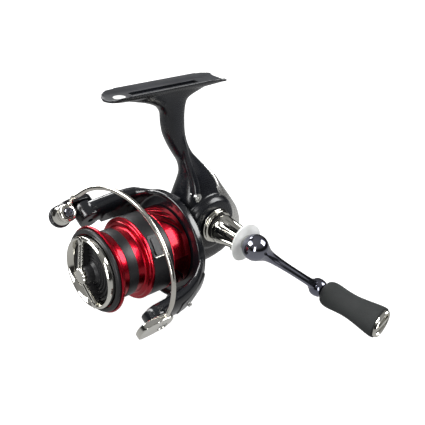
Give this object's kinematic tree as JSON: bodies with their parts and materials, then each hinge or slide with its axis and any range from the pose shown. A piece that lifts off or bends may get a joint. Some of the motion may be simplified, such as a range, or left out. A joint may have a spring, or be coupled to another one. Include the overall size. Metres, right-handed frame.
{
  "type": "spinning reel",
  "caption": "Front-drag spinning reel with a folding-free screw-in handle, bail, skirted spool and slotted foot on a long stem.",
  "frame": {"origin": "middle of the foot's seat face, on its centre line", "axes": "+Z out of the foot towards the rod, -Y forward to the spool's front, +X towards the handle"},
  "size_m": [0.1269, 0.1088, 0.1068],
  "materials": {
    "body_black": "satin",
    "rotor_black": "satin",
    "chrome": "polished",
    "dark_chrome": "polished",
    "spool_red": "anodised",
    "black_band": "matte",
    "knob_rubber": "matte",
    "steel": "brushed",
    "brass": "machined",
    "gear_alloy": "die cast zinc",
    "white_plastic": "translucent",
    "felt": "felt",
    "seal_rubber": "matte",
    "wire": "polished",
    "inner_plastic": "moulded"
  },
  "bodies": {
    "reel_body": {"body_housing": "body_black", "side_cover": "body_black", "rear_cover": "chrome", "body_screws": "steel", "drive_bearing_right": "steel", "drive_bearing_left": "steel", "pinion_front_bearing": "steel", "pinion_rear_bush": "brass", "guide_rod": "steel", "shaft_cap": "dark_chrome", "clutch_housing": "gear_alloy", "clutch_rollers": "steel", "clutch_cover": "inner_plastic", "trip_ramp": "inner_plastic", "oscillation_axle": "steel"},
    "crank": {"drive_gear": "gear_alloy", "drive_shaft": "steel", "oscillation_drive_gear": "brass", "shaft_collar": "chrome", "collar_seal": "seal_rubber", "handle_sleeve": "chrome", "handle_shaft": "steel", "packing_disc": "white_plastic", "handle_arm": "dark_chrome", "knob_pin": "steel"},
    "handle_knob": {"knob_grip": "knob_rubber", "knob_cap": "chrome", "knob_bushes": "inner_plastic"},
    "oscillation": {"oscillation_gear": "inner_plastic"},
    "rotor": {"rotor": "rotor_black", "pinion": "brass", "clutch_sleeve": "steel", "rotor_nut": "steel", "plain_arm_cover": "rotor_black", "roller_arm_cover": "rotor_black", "arm_cover_screws": "steel", "bail_spring": "steel"},
    "kick_lever": {"kick_lever": "steel"},
    "bail": {"bail_arm": "rotor_black", "bail_holder": "chrome", "bail_pivot_screws": "steel", "bail_wire": "wire", "roller_screw": "chrome"},
    "line_roller": {"line_roller": "chrome"},
    "spool_shaft": {"main_shaft": "steel", "oscillation_slider": "gear_alloy", "spool_seat": "brass", "metal_drag_washers": "steel"},
    "spool": {"spool": "spool_red", "spool_front_ring": "black_band", "arbor_band": "black_band", "rear_band": "black_band", "felt_drag_washers": "felt", "drag_retaining_ring": "steel"},
    "line_clip": {"line_clip": "rotor_black"},
    "drag_knob": {"drag_knob": "black_band", "drag_knob_trim": "chrome", "drag_spring": "steel"},
    "drag_nut": {"drag_nut": "brass"}
  },
  "joints": [
    {"name": "crank_turn", "type": "hinge", "parent": "reel_body", "child": "crank", "pos_m": [0.02, 0.0244, -0.0684], "axis": [1, 0, 0], "continuous": true},
    {"name": "rotor_turn", "type": "hinge", "parent": "reel_body", "child": "rotor", "pos_m": [0, 0, -0.0785], "axis": [0, -1, 0], "continuous": true},
    {"name": "oscillation_turn", "type": "hinge", "parent": "reel_body", "child": "oscillation", "pos_m": [0.005, 0.0305, -0.0795], "axis": [1, 0, 0], "continuous": true},
    {"name": "knob_turn", "type": "hinge", "parent": "crank", "child": "handle_knob", "pos_m": [0.07, 0.0591, -0.0967], "axis": [1, 0, 0], "continuous": true},
    {"name": "spool_travel", "type": "slide", "parent": "reel_body", "child": "spool_shaft", "axis": [0, -1, 0], "range_m": [0, 0.012]},
    {"name": "spool_slip", "type": "hinge", "parent": "spool_shaft", "child": "spool", "pos_m": [0, -0.02, -0.0785], "axis": [0, -1, 0], "continuous": true},
    {"name": "drag_adjust", "type": "hinge", "parent": "spool_shaft", "child": "drag_knob", "pos_m": [0, -0.04, -0.0785], "axis": [0, -1, 0], "range_deg": [-360, 720]},
    {"name": "drag_nut_travel", "type": "slide", "parent": "drag_knob", "child": "drag_nut", "axis": [0, -1, 0], "range_m": [-0.0008, 0.0016]},
    {"name": "line_clip_lift", "type": "slide", "parent": "spool", "child": "line_clip", "axis": [0.788, 0, 0.6157], "range_m": [0, 0.0005], "stiffness_N_per_m": 600},
    {"name": "bail_open", "type": "hinge", "parent": "rotor", "child": "bail", "pos_m": [0, -0.023, -0.0785], "axis": [0.8829, 0, -0.4695], "range_deg": [0, 110]},
    {"name": "kick_travel", "type": "slide", "parent": "rotor", "child": "kick_lever", "axis": [0, 1, 0], "range_m": [0, 0.0027]},
    {"name": "line_roller_turn", "type": "hinge", "parent": "bail", "child": "line_roller", "pos_m": [-0.02753, -0.034, -0.06296], "axis": [0.8181, -0.0799, 0.5695], "continuous": true}
  ],
  "couplings": [
    {"joint": "rotor_turn", "follows": "crank_turn", "ratio": 5.3},
    {"joint": "oscillation_turn", "follows": "crank_turn", "ratio": -0.5},
    {"joint": "drag_nut_travel", "follows": "drag_adjust", "m_per_rad": 0.00011937},
    {"joint": "kick_travel", "follows": "bail_open", "m_per_rad": 0.0013}
  ]
}
